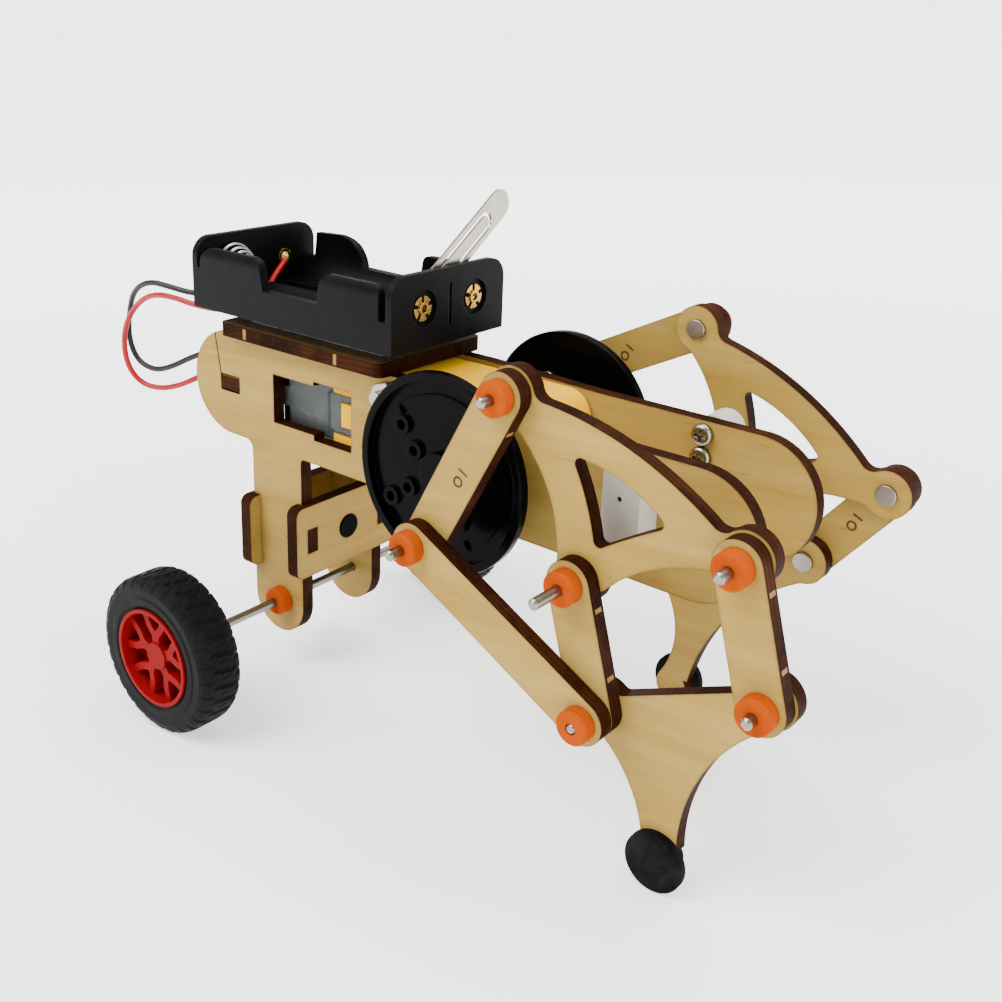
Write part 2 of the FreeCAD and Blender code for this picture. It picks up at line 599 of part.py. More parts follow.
# low side walls with raised lobes and notches
side_cut = []
for s in (-1, 1):
    y0, y1 = s * 14.4, s * (HOLD_W + 1)
    if s < 0:
        wall = [(WALL_X0, 40), ("L", (WALL_X0, 27.0)), ("L", (-71.2, 27.0)),
                ("A", (-70.2, 30.2), (-68.2, 31.4)), ("L", (-54.6, 31.4)), ("A", (-53.0, 30.5), (-52.3, 28.6)),
                ("L", (-51.6, 24.9)), ("L", (-36.0, 24.9)), ("L", (-35.4, 28.6)), ("A", (-34.6, 30.5), (-33.0, 31.4)),
                ("L", (-21.4, 31.4)), ("A", (-19.9, 30.8), (-19.3, 29.4)), ("L", (-19.3, 24.6)), ("L", (WALL_X1, 24.6)), ("L", (WALL_X1, 40))]
    else:
        wall = [(WALL_X0, 40), ("L", (WALL_X0, 25.2)), ("L", (-69.8, 25.2)), ("L", (-69.1, 31.0)),
                ("L", (-62.0, 31.4)), ("A", (-56.5, 29.3), (-54.2, 24.9)), ("L", (-37.3, 24.7)), ("L", (-36.5, 29.2)), ("A", (-35.9, 30.1), (-34.9, 30.4)),
                ("L", (-20.6, 30.4)), ("L", (-20.6, 24.6)), ("L", (WALL_X1, 24.6)), ("L", (WALL_X1, 40))]
    H = H.cut(plate(wall, y0, y1))
# recesses round the front terminals, centre groove on the front face
for y in (-7.7, 7.7):
    H = H.cut(Part.makeCylinder(3.6, 2.0, V(HOLD_X1 - 0.7, y, 26.1), V(1, 0, 0)))
    H = H.cut(Part.makeCylinder(1.3, 6.0, V(HOLD_X1 - 4.0, y, 26.1), V(1, 0, 0)))
    H = H.cut(Part.makeCylinder(1.3, 6.0, V(HOLD_X0 - 2.0, y, 26.1), V(1, 0, 0)))
H = H.cut(box(HOLD_X1 - 0.5, HOLD_X1 + 1, -0.35, 0.35, 21.8, 30.2))
# wire slot through the floor and the centre ridge, next to the rear wall
H = H.cut(box(-71.3, -66.4, -3.0, 3.0, HOLD_Z0 - 1, 24.4))
node("battery_holder", one(H))


def eyelet(x, y, z, d, crown=True):
    """Hollow rivet through an end wall; d is the outward direction."""
    b = Part.makeCylinder(1.3, 1.6 if crown else 1.6, V(x, y, z), V(d, 0, 0))
    fl = Part.makeCylinder(2.5 if crown else 2.0, 0.35, V(x + d * (0.9 if crown else 1.6), y, z), V(d, 0, 0))
    inn = Part.makeCylinder(2.3 if crown else 1.8, 0.3, V(x, y, z), V(-d, 0, 0))
    e = fuse(b, fl, inn)
    e = e.cut(Part.makeCylinder(0.8 if crown else 1.0, 6, V(x - 3, y, z), V(1, 0, 0)))
    if crown:
        for i in range(5):
            c = Part.makeBox(0.5, 2.4, 0.8, V(x + d * 0.85 if d > 0 else x + d * 0.85 - 0.5, y + 1.32, z - 0.4))
            c.rotate(V(x, y, z), V(1, 0, 0), 72 * i + 20)
            e = e.cut(c)
    return one(e)


FR = HOLD_X1 - 1.6
RR = HOLD_X0 + 1.6
# the right front eyelet is long enough to carry the switch lever and is
# clinched over it; the right rear one has a solder tab hanging down
carrier = fuse(eyelet(FR, -7.7, 26.1, 1),
               Part.makeCylinder(LEVER_NECK, 1.4, V(FR, -7.7, 26.1), V(-1, 0, 0)),
               Part.makeCylinder(2.0, 0.3, V(FR - 1.1, -7.7, 26.1), V(-1, 0, 0)))
carrier = one(carrier.cut(Part.makeCylinder(0.75, 6, V(FR - 3, -7.7, 26.1), V(1, 0, 0))))
tab = box(HOLD_X0 - 0.35, HOLD_X0, -8.6, -6.8, 18.4, 26.1)
tabbed = fuse(eyelet(RR, -7.7, 26.1, -1, False), tab)
tabbed = one(tabbed.cut(Part.makeCylinder(0.75, 6, V(RR - 3, -7.7, 26.1), V(1, 0, 0))))
node("battery_terminals", carrier, eyelet(FR, 7.7, 26.1, 1), eyelet(RR, 7.7, 26.1, -1, False), tabbed)


def spring(x, y, z):
    """Conical cell spring drawn as three stacked rings joined by short posts."""
    rings = []
    for i in range(4):
        r = 5.4 - 0.85 * i
        t = Part.makeTorus(r, 0.4, V(x + 0.45 + 1.5 * i, y, z), V(1, 0, 0))
        rings.append(t)
    posts = []
    for i in range(3):
        r0, r1 = 5.4 - 0.85 * i, 5.4 - 0.85 * (i + 1)
        a = math.radians(115 * i + 60)
        p0 = V(x + 0.45 + 1.5 * i, y + r0 * math.cos(a), z + r0 * math.sin(a))
        p1 = V(x + 0.45 + 1.5 * (i + 1), y + r1 * math.cos(a), z + r1 * math.sin(a))
        dd = p1 - p0
        posts.append(Part.makeCylinder(0.4, dd.Length, p0, dd))
    return one(rings[0].multiFuse(rings[1:] + posts))


node("battery_spring", spring(RR, -7.7, 25.6))

# switch lever: flat strip turning on the right front terminal, with a U-cut
# tongue that presses on the other cell when the lever is down
px, py, pz = LEVER_PIVOT
LW, LLEN, LT = 3.1, 33.6, 0.5
root = Part.makeCylinder(LW, LT, V(px - LT / 2, py, pz), V(1, 0, 0))
tipc = Part.makeCylinder(LW * 0.98, LT, V(px - LT / 2, py + LLEN - 3.0, pz), V(1, 0, 0))
lv = Part.makeBox(LT, LLEN - 3.0, 2 * LW, V(px - LT / 2, py, pz - LW))
lv = fuse(lv, root, tipc)
ucut = fuse(box(px - 2, px + 2, py + 5.0, py + 25.0, pz + 1.2, pz + 2.0),
            box(px - 2, px + 2, py + 5.0, py + 25.0, pz - 2.0, pz - 1.2),
            Part.makeCylinder(2.0, 4, V(px - 2, py + 25.0, pz), V(1, 0, 0)).cut(
                Part.makeCylinder(1.2, 4, V(px - 2, py + 25.0, pz), V(1, 0, 0))).common(
                    box(px - 2, px + 2, py + 25.0, py + 28.0, pz - 3, pz + 3)))
lv = lv.cut(ucut)
lv = lv.cut(Part.makeCylinder(LEVER_BORE, 4, V(px - 2, py, pz), V(1, 0, 0)))
lv = one(lv)
lv.rotate(V(px, py, pz), V(1, 0, 0), LEVER_A)
node("switch_lever", lv)

# ---------------------------------------------------------------- fasteners
def phillips(c, ax, r, depth):
    """Cross recess tool body at c, looking along the unit axis ax."""
    k = []
    for i in range(2):
        if abs(ax.y) > 0.5:
            b = Part.makeBox(2 * r if i == 0 else 0.7, depth, 0.7 if i == 0 else 2 * r,
                             V(c.x - (r if i == 0 else 0.35), c.y if ax.y > 0 else c.y - depth, c.z - (0.35 if i == 0 else r)))
        k.append(b)
    return fuse(*k)


scr = []
for p in SCREWS:
    hd = cyl(p, 2.75, FRAME_OUT, FRAME_OUT + 1.9)
    hd = hd.makeFillet(0.9, [e for e in hd.Edges if e.Curve.TypeId == "Part::GeomCircle" and abs(e.Curve.Center.y - FRAME_OUT - 1.9) < 1e-3])
    sh = cyl(p, 1.5, -(FRAME_OUT + 4.2), FRAME_OUT + 0.2)
    hd = hd.cut(phillips(V(p[0], FRAME_OUT + 1.9, p[1]), V(0, -1, 0), 1.5, 1.1))
    scr.append(one(fuse(hd, sh)))
def nut(p, y0, y1, af, hole):
    pts = [pol(p, af / math.sqrt(3), 60 * i + 15) for i in range(6)]
    n = plate([pts[0]] + [("L", q) for q in pts[1:]], y0, y1)
    c = cyl(p, af / math.sqrt(3) - 0.15, min(y0, y1), max(y0, y1))
    c = c.makeFillet(0.4, [e for e in c.Edges if e.Curve.TypeId == "Part::GeomCircle"])
    n = n.common(cyl(p, af / math.sqrt(3) - 0.05, y0, y1)).common(c.fuse(cyl(p, af / math.sqrt(3) - 0.05, min(y0, y1) + 0.35, max(y0, y1) - 0.35)))
    return one(n.cut(cyl(p, hole, y0 - 1, y1 + 1)))


node("motor_screws_nuts", *scr, *[nut(p, -FRAME_OUT, -(FRAME_OUT + 2.4), 5.5, 1.5) for p in SCREWS])

# pivot blocks: nylon bars screwed to the frames, each carries a leg pivot pin
blocks = []
for s in (-1, 1):
    b = bar((37.4, -5.5), (37.4, 8.4), 3.7, s * FRAME_OUT, s * 18.45)
    b = b.cut(cyl(PIV, PIN_R, s * 12, s * 19))
    for p in BLOCK_SCREWS:
        b = b.cut(cyl(p, 1.0, s * 12, s * 17.9))
        b = b.cut(cyl(p, 0.5, s * 17, s * 19))
    blocks.append(one(b))
node("pivot_blocks", *blocks)
bs = []
for s in (-1, 1):
    for p in BLOCK_SCREWS:
        h = cyl(p, 2.1, s * (FRAME_IN - 1.5), s * FRAME_IN)
        h = h.makeFillet(0.8, [e for e in h.Edges if e.Curve.TypeId == "Part::GeomCircle" and abs(abs(e.Curve.Center.y) - (FRAME_IN - 1.5)) < 1e-3])
        h = h.cut(phillips(V(p[0], s * (FRAME_IN - 1.5), p[1]), V(0, s, 0), 1.2, 0.9))
        sh = cyl(p, 1.0, s * (FRAME_IN - 0.1), s * 17.4)
        bs.append(one(fuse(h, sh)))
node("pivot_block_screws", *bs)
node("pivot_pins", *[pin(PIV, s, FRAME_IN, 40.4) for s in (-1, 1)])
node("pivot_bushes", *([bush(PIV, s, 18.45, Y2 - 0.15 - 18.45) for s in (-1, 1)] + [bush(PIV, s, Y3 + PLY + 0.15) for s in (-1, 1)]))

# ---------------------------------------------------------------- rear axle
node("rear_axle", cyl(AXLE, AXLE_R, -46.3, 46.3))
node("axle_bushes", *[bush(AXLE, s, FRAME_OUT + 0.2) for s in (-1, 1)])


def rim(s):
    """Dished rim with five forked spokes in front of a solid back wall."""
    yo = WHEEL_OUT - 0.5
    r = cyl(AXLE, RIM_R, s * (yo - TYRE_W), s * yo)
    r = r.cut(cyl(AXLE, RIM_R - 0.7, s * (yo - 4.0), s * (yo + 1)))
    r = r.cut(cyl(AXLE, RIM_R - 1.2, s * (yo - TYRE_W - 1), s * (yo - 5.2)))
    lip = cyl(AXLE, RIM_R + 0.1, s * (yo - 0.2), s * (yo + 0.35)).cut(cyl(AXLE, RIM_R - 0.7, s * (yo - 2), s * (yo + 2)))
    hub = fuse(cyl(AXLE, 2.9, s * (yo - 4.4), s * (yo - 0.9)), cyl(AXLE, 2.6, s * (yo - 9.6), s * (yo - 4.0)))
    sp = []
    for i in range(5):
        a = 72 * i + 20
        stem = bar(pol(AXLE, 1.5, a), pol(AXLE, 4.6, a), 1.1, s * (yo - 4.4), s * (yo - 1.2))
        l1 = bar(pol(AXLE, 4.2, a), pol(AXLE, 6.8, a + 17), 0.8, s * (yo - 4.4), s * (yo - 1.2))
        l2 = bar(pol(AXLE, 4.2, a), pol(AXLE, 6.8, a - 17), 0.8, s * (yo - 4.4), s * (yo - 1.2))
        m1 = bar(pol(AXLE, 6.8, a + 17), pol(AXLE, 9.5, a + 19), 0.8, s * (yo - 4.4), s * (yo - 1.2))
        m2 = bar(pol(AXLE, 6.8, a - 17), pol(AXLE, 9.5, a - 19), 0.8, s * (yo - 4.4), s * (yo - 1.2))
        sp += [stem, l1, l2, m1, m2]
    r = fuse(r, lip, hub, *sp)
    r = r.cut(cyl(AXLE, AXLE_R, s * 30, s * (yo - 1.6)))
    return one(r)


def tyre(s):
    yo = WHEEL_OUT - 0.5
    y1, y0 = yo + 0.2, yo - TYRE_W
    sg = 1 if s > 0 else -1
    prof = [(RIM_R, y0 + 0.2), (RIM_R + 1.2, y0), (TYRE_R - 2.0, y0), (TYRE_R - 0.4, y0 + 1.0), (TYRE_R, y0 + 2.2),
            (TYRE_R, y1 - 2.2), (TYRE_R - 0.4, y1 - 1.0), (TYRE_R - 2.0, y1), (RIM_R + 1.2, y1), (RIM_R, y1 - 0.45)]
    pts = [V(AXLE[0] + r, sg * y, AXLE[1]) for r, y in prof]
    w = Part.makePolygon(pts + [pts[0]])
    t = Part.Face(w).revolve(V(AXLE[0], 0, AXLE[1]), V(0, 1, 0), 360)
    t = t.cut(cyl(AXLE, RIM_R + 0.35, s * (yo - 0.2), s * (yo + 0.35)))
    return one(t)


node("wheel_rims", rim(-1), rim(1))
for side, s in (("right", -1), ("left", 1)):
    node("tyre_" + side, tyre(s))

# ---------------------------------------------------------------- wires
WIRE_BLACK = [(-74.05, -7.7, 19.2), (-79.2, -7.9, 18.5), (-84.6, -9.3, 17.9), (-90.0, -11.0, 18.8), (-95.6, -12.1, 19.3), (-101.2, -12.4, 16.6),
              (-105.6, -11.1, 10.4), (-107.3, -10.5, 3.2), (-105.4, -9.8, -2.0), (-100.2, -9.0, -3.6),
              (-95.0, -8.2, -2.0), (-89.0, -6.6, 1.4), (-82.6, -5.4, 4.2), (-76.4, -4.7, 4.9), (-70.2, -4.6, 4.4), (-64.4, -4.6, 3.7), (-60.8, -4.6, 3.4), (-57.4, -4.6, 3.4)]
WIRE_RED = [(-71.2, 7.1, 25.3), (-70.6, 5.0, 24.0), (-69.8, 2.4, 22.4), (-69.2, 0.2, 20.4), (-69.1, -1.9, 17.6), (-71.4, -5.6, 15.6), (-75.6, -8.6, 15.5), (-81.4, -10.8, 15.9),
            (-88.2, -12.0, 17.0), (-94.8, -12.4, 16.4), (-100.7, -12.3, 13.2), (-104.8, -12.7, 8.0), (-106.8, -12.4, 2.4),
            (-106.6, -11.7, -3.6), (-103.4, -10.4, -7.3), (-98.2, -9.0, -7.8), (-92.6, -7.9, -6.1), (-87.0, -6.6, -3.2), (-81.0, -4.6, 0.6), (-75.4, -2.2, 3.6), (-69.0, 1.4, 4.4), (-62.8, 4.2, 3.6), (-57.4, 4.6, 3.4)]


def cord(points, d, name):
    """Tube of straight runs joined by the largest tangent arcs they allow."""
    P = [V(*p) for p in points]
    n = len(P)
    edges = []
    start = P[0]
    length = 0.0
    radii = []
    for i in range(1, n - 1):
        a, b, c = P[i - 1], P[i], P[i + 1]
        u, w = (a - b), (c - b)
        lu, lw = u.Length, w.Length
        u = u * (1 / lu)
        w = w * (1 / lw)
        turn_a = math.pi - math.acos(max(-1, min(1, u.dot(w))))
        t = 0.45 * min(lu, lw)
        r = t / math.tan(turn_a / 2)
        radii.append(round(r, 1))
        p0, p1 = b + u * t, b + w * t
        bis = (u + w)
        bis.normalize()
        cdist = r / math.cos(turn_a / 2)
        centre = b + bis * cdist
        mid = centre + (b - centre).normalize() * r
        edges.append(Part.LineSegment(start, p0).toShape())
        length += (p0 - start).Length
        edges.append(Part.Arc(p0, mid, p1).toShape())
        length += r * turn_a
        start = p1
    edges.append(Part.LineSegment(start, P[-1]).toShape())
    length += (P[-1] - start).Length
    path = Part.Wire(edges)
    circ = Part.Wire(Part.makeCircle(d / 2.0, P[0], (P[1] - P[0])))
    tube = path.makePipeShell([circ], True, True)
    sol = tube.Solids[0] if tube.Solids else Part.Solid(tube)
    if sol.Volume < 0:
        sol = sol.reversed()
    want = math.pi * d * d / 4 * length
    print("%s: length %.1f mm, volume %.1f against %.1f, radii %s" % (name, length, sol.Volume, want, radii))
    return sol


node("wire_black", cord(WIRE_BLACK, WIRE_D, "wire_black"))
node("wire_red", cord(WIRE_RED, WIRE_D, "wire_red"))


# ---------------------------------------------------------------- stance and export
def place(p):
    """Body frame point to the part frame."""
    a = math.radians(BODY_PITCH)
    x, y, z = p
    return (x * math.cos(a) + z * math.sin(a) - CENTRE_X, y, -x * math.sin(a) + z * math.cos(a) - GROUND)


lo = [1e9] * 3
hi = [-1e9] * 3
for name, solids in NODES.items():
    out = []
    for s in solids:
        t = s.copy()
        t.rotate(V(0, 0, 0), V(0, 1, 0), BODY_PITCH)
        t.translate(V(-CENTRE_X, 0, -GROUND))
        if not t.isValid():
            print("invalid solid in", name)
        out.append(t)
        if not name.startswith("wire_"):
            bb = t.optimalBoundingBox()
            for i, (a, b) in enumerate(((bb.XMin, bb.XMax), (bb.YMin, bb.YMax), (bb.ZMin, bb.ZMax))):
                lo[i] = min(lo[i], a)
                hi[i] = max(hi[i], b)
    shape = out[0] if len(out) == 1 else Part.makeCompound(out)
    shape.exportStep("parts/%s.step" % name)
print("SWING %.4f" % SWING)
print("nodes %d" % len(NODES))
print("box %s %s" % ([round(v, 3) for v in lo], [round(v, 3) for v in hi]))
for k, p in (("shaft", (0, 0)), ("pivot", PIV), ("axle", AXLE), ("A_right", A_R), ("T_right", T_R), ("K_right", K_R), ("F_right", F_R), ("G_right", G_R),
             ("A_left", A_L), ("T_left", T_L), ("K_left", K_L), ("F_left", F_L), ("G_left", G_L), ("comp", (X_COMP, 0)), ("crown", (X_CROWN, 0))):
    q = place((p[0], 0, p[1]))
    print("point %s %.5f %.5f" % (k, q[0], q[2]))
q = place(LEVER_PIVOT)
print("lever %.5f %.5f %.5f" % q)
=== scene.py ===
import math
import bpy
from mathutils import Matrix, Vector


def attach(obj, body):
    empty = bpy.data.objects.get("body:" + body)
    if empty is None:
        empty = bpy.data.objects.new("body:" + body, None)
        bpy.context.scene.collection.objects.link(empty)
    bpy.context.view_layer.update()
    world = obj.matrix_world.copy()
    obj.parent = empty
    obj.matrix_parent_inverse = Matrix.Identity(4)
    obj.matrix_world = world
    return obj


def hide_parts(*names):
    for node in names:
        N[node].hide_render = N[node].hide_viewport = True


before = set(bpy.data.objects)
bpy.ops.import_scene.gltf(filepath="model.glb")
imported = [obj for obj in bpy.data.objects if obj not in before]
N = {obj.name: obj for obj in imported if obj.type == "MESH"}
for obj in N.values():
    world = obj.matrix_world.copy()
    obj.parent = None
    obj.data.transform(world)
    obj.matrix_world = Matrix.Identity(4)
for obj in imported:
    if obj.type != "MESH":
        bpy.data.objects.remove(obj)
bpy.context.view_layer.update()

# ---------------------------------------------------------------- stance
PITCH = math.radians(3.04)
OX, OZ = 0.002314, 0.06064
CP, SP = math.cos(PITCH), math.sin(PITCH)


def place(p):
    """Body frame point in millimetres to the row frame in metres."""
    x, y, z = (c / 1000.0 for c in p)
    return Vector((x * CP + z * SP + OX, y, -x * SP + z * CP + OZ))


def turn(v):
    return Vector((v[0] * CP + v[2] * SP, v[1], -v[0] * SP + v[2] * CP))


# ---------------------------------------------------------------- camera
YAW, TILT, ROLL = (math.radians(a) for a in (37.24, 18.54, 2.18))
back = Vector((math.sin(YAW) * math.cos(TILT), -math.cos(YAW) * math.cos(TILT), math.sin(TILT)))
right = Vector((math.cos(YAW), math.sin(YAW), 0))
up = back.cross(right)
cr, sr = math.cos(ROLL), math.sin(ROLL)
right2 = cr * right + sr * up
up2 = -sr * right + cr * up
r_, u_, b_ = turn(right2), turn(up2), turn(back)
cam_data = bpy.data.cameras.new("camera")
cam = bpy.data.objects.new("camera", cam_data)
bpy.context.scene.collection.objects.link(cam)
eye = place((134.31, -179.44, 81.53))
cam.matrix_world = Matrix(((r_.x, u_.x, b_.x, eye.x), (r_.y, u_.y, b_.y, eye.y), (r_.z, u_.z, b_.z, eye.z), (0, 0, 0, 1)))
cam_data.sensor_width = 36.0
cam_data.lens = 36.0 * 1213.11 / 1002.0
cam_data.shift_x = -(501.81 - 501.0) / 1002.0
cam_data.shift_y = (415.01 - 501.0) / 1002.0
cam_data.clip_start = 0.01
bpy.context.scene.camera = cam


# ---------------------------------------------------------------- node helper
class Mat:
    """Small builder for a node material."""

    def __init__(self, name):
        self.m = bpy.data.materials.new(name)
        self.m.use_nodes = True
        self.t = self.m.node_tree
        self.t.nodes.clear()
        self.out = self.n("ShaderNodeOutputMaterial")
        self.b = self.n("ShaderNodeBsdfPrincipled")
        self.link(self.b.outputs[0], self.out.inputs["Surface"])
        self.tc = self.n("ShaderNodeTexCoord")

    def n(self, kind, **props):
        x = self.t.nodes.new(kind)
        for k, v in props.items():
            setattr(x, k, v)
        return x

    def link(self, a, b):
        self.t.links.new(a, b)

    def put(self, socket, v):
        if isinstance(v, bpy.types.NodeSocket):
            self.link(v, socket)
        elif isinstance(v, (tuple, list)) and len(v) == 3 and socket.type == "RGBA":
            socket.default_value = (*v, 1.0)
        else:
            socket.default_value = v

    def math(self, op, a, b=None, c=None, clamp=False):
        x = self.n("ShaderNodeMath", operation=op, use_clamp=clamp)
        self.put(x.inputs[0], a)
        if b is not None:
            self.put(x.inputs[1], b)
        if c is not None:
            self.put(x.inputs[2], c)
        return x.outputs[0]

    def mix(self, f, a, b, blend="MIX"):
        x = self.n("ShaderNodeMix", data_type="RGBA", blend_type=blend)
        self.put(x.inputs[0], f)
        self.put(x.inputs[6], a)
        self.put(x.inputs[7], b)
        return x.outputs[2]

    def ramp(self, f, stops, colour=False):
        x = self.n("ShaderNodeValToRGB")
        self.put(x.inputs[0], f)
        e = x.color_ramp.elements
        while len(e) < len(stops):
            e.new(0.5)
        for el, (p, c) in zip(e, stops):
            el.position = p
            el.color = (*c, 1.0) if isinstance(c, (tuple, list)) else (c, c, c, 1.0)
        return x.outputs[0]

    def noise(self, scale, detail=3.0, rough=0.5, dist=0.0, vec=None):
        x = self.n("ShaderNodeTexNoise")
        self.link(vec if vec is not None else self.tc.outputs["Object"], x.inputs["Vector"])
        x.inputs["Scale"].default_value = scale
        x.inputs["Detail"].default_value = detail
        x.inputs["Roughness"].default_value = rough
        x.inputs["Distortion"].default_value = dist
        return x.outputs["Fac"]

    def stretch(self, s, rot=(0, 0, 0)):
        x = self.n("ShaderNodeMapping")
        self.link(self.tc.outputs["Object"], x.inputs["Vector"])
        x.inputs["Rotation"].default_value = rot
        x.inputs["Scale"].default_value = s
        return x.outputs["Vector"]

    def range(self, v, a, b, c, d):
        x = self.n("ShaderNodeMapRange")
        self.put(x.inputs[0], v)
        for i, q in enumerate((a, b, c, d)):
            x.inputs[i + 1].default_value = q
        return x.outputs[0]

    def bevel(self, r, samples=4):
        x = self.n("ShaderNodeBevel", samples=samples)
        x.inputs["Radius"].default_value = r
        return x.outputs[0]

    def bump(self, height, dist, strength=1.0, normal=None):
        x = self.n("ShaderNodeBump")
        self.put(x.inputs["Height"], height)
        x.inputs["Distance"].default_value = dist
        x.inputs["Strength"].default_value = strength
        if normal is not None:
            self.link(normal, x.inputs["Normal"])
        return x.outputs[0]

    def edge(self, r, gain=2.0, samples=8):
        """0 on a flat face, towards 1 near a corner within r."""
        bev = self.bevel(r, samples)
        g = self.n("ShaderNodeNewGeometry")
        d = self.n("ShaderNodeVectorMath", operation="DOT_PRODUCT")
        self.link(bev, d.inputs[0])
        self.link(g.outputs["True Normal"], d.inputs[1])
        return self.math("MULTIPLY", self.math("SUBTRACT", 1.0, d.outputs["Value"]), gain, clamp=True)

    def set(self, **k):
        names = dict(color="Base Color", metal="Metallic", rough="Roughness", normal="Normal", coat="Coat Weight",
                     coat_rough="Coat Roughness", trans="Transmission Weight", ior="IOR", sss="Subsurface Weight", spec="Specular IOR Level", alpha="Alpha")
        for key, v in k.items():
            self.put(self.b.inputs[names[key]], v)
        return self


# ---------------------------------------------------------------- materials
def ply(name, axis, tone=1.0, grain=0.0, dark=1.0, plate_mid=None):
    """Laser-cut birch plywood. axis is the plate's thickness direction, 'x', 'y' or 'z'."""
    m = Mat(name)
    sep = m.n("ShaderNodeSeparateXYZ")
    m.link(m.tc.outputs["Normal"], sep.inputs[0])
    comp = {"x": 0, "y": 1, "z": 2}[axis]
    face = m.math("GREATER_THAN", m.math("ABSOLUTE", sep.outputs[comp]), 0.8)
    pos = m.n("ShaderNodeSeparateXYZ")
    m.link(m.tc.outputs["Object"], pos.inputs[0])
    # face veneer: long soft grain, faint rays and a few darker flecks
    if axis == "y":
        rot = (0, math.radians(grain), 0)
        s1, s2 = (60, 60, 900), (14, 14, 160)
    elif axis == "z":
        rot = (0, 0, math.radians(grain))
        s1, s2 = (60, 900, 60), (14, 160, 14)
    else:
        rot = (math.radians(grain), 0, 0)
        s1, s2 = (60, 60, 900), (14, 14, 160)
    g1 = m.noise(1.0, 4.0, 0.6, 0.3, m.stretch(s1, rot))
    g2 = m.noise(1.0, 3.0, 0.5, 0.8, m.stretch(s2, rot))
    g3 = m.noise(38.0, 3.0, 0.5, 0.4)
    base = m.ramp(g2, [(0.25, (0.25 * tone, 0.145 * tone, 0.022 * tone)), (0.5, (0.31 * tone, 0.195 * tone, 0.036 * tone)), (0.78, (0.36 * tone, 0.240 * tone, 0.056 * tone))])
    base = m.mix(m.range(g1, 0.35, 0.75, 0.0, 0.28), base, (0.19 * tone, 0.10 * tone, 0.016 * tone))
    base = m.mix(m.range(g3, 0.45, 0.8, 0.0, 0.22), base, (0.42 * tone, 0.30 * tone, 0.10 * tone))
    fleck = m.noise(1.0, 2.0, 0.5, 0.0, m.stretch((130, 130, 1500) if axis != "z" else (130, 1500, 130), rot))
    base = m.mix(m.range(fleck, 0.68, 0.76, 0.0, 0.35), base, (0.10 * tone, 0.042 * tone, 0.008 * tone))
    halo = m.edge(0.0011, 2.4)
    hn = m.noise(240.0, 2.0, 0.6)
    halo = m.math("MULTIPLY", halo, m.range(hn, 0.3, 0.7, 0.35, 0.95))
    base = m.mix(halo, base, (0.050, 0.018, 0.004))
    # cut edge: burnt brown with lighter and darker plies and laser striations
    if axis == "y":
        th = m.math("MULTIPLY", pos.outputs[1], 1000.0)
    elif axis == "x":
        th = m.math("MULTIPLY", pos.outputs[0], 1000.0)
    else:
        th = m.math("MULTIPLY", pos.outputs[2], 1000.0)
    wob = m.noise(110.0, 2.0, 0.5)
    th = m.math("ADD", th, m.range(wob, 0.0, 1.0, -0.35, 0.35))
    lines = m.math("SINE", m.math("MULTIPLY", th, 2 * math.pi / 1.1))
    stri = m.noise(900.0, 2.0, 0.6)
    patch = m.noise(70.0, 3.0, 0.6, 0.5)
    burnt = m.ramp(patch, [(0.3, (0.0075 * dark, 0.0021 * dark, 0.0006 * dark)), (0.5, (0.020 * dark, 0.0055 * dark, 0.0016 * dark)), (0.72, (0.048 * dark, 0.0148 * dark, 0.0042 * dark))])
    burnt = m.mix(m.range(lines, -0.2, 1.0, 0.0, 0.55), burnt, (0.008, 0.0025, 0.001))
    burnt = m.mix(m.range(stri, 0.5, 0.8, 0.0, 0.35), burnt, (0.055, 0.018, 0.005))
    col = m.mix(face, burnt, base)
    rough = m.range(g1, 0.2, 0.8, 0.50, 0.66)
    h = m.math("ADD", m.math("MULTIPLY", g1, 0.6), m.math("MULTIPLY", stri, m.math("MULTIPLY", m.math("SUBTRACT", 1.0, face), 1.5)))
    nrm = m.bump(h, 0.00005, 0.6, m.bevel(0.00018))
    m.set(color=col, rough=rough, normal=nrm, spec=m.math("ADD", 0.02, m.math("MULTIPLY", face, 0.13)))
    return m.m


def plastic(name, col, rough=0.35, col2=None, scale=60.0, grain=0.0, sss=0.0, coat=0.0, bev=0.00025, dust=0.0, spec=0.5, var=0.06):
    m = Mat(name)
    n1 = m.noise(scale, 4.0, 0.55, 0.4)
    c2 = col2 if col2 else tuple(max(0.0, c * 0.80) for c in col)
    base = m.mix(m.range(n1, 0.3, 0.72, 0.0, 1.0), col, c2)
    if dust:
        n2 = m.noise(scale * 5.0, 3.0, 0.6, 0.2)
        base = m.mix(m.range(n2, 0.62, 0.8, 0.0, dust), base, (0.20, 0.19, 0.18))
    # painted highlight: the colour is made a little lighter near corners, standing in for light catching the rounded
    # edges
    e = m.edge(0.0004, 1.2, 6)
    base = m.mix(m.math("MULTIPLY", e, 0.25), base, tuple(min(1.0, c * 1.2 + 0.006) for c in col))
    fine = m.noise(1500.0 if grain else 700.0, 3.0, 0.6)
    r = m.range(m.noise(scale * 2.0, 3.0, 0.6), 0.3, 0.75, rough - var, rough + var)
    nrm = m.bump(fine, 0.00002 + 0.00006 * grain, 0.25 + 0.5 * grain, m.bevel(bev))
    m.set(color=base, rough=r, normal=nrm, spec=spec)
    if sss:
        m.set(sss=sss)
        m.b.inputs["Subsurface Radius"].default_value = (0.0012, 0.0008, 0.0005)
        m.b.inputs["Subsurface Scale"].default_value = 1.0
    if coat:
        m.set(coat=coat, coat_rough=0.08)
    return m.m


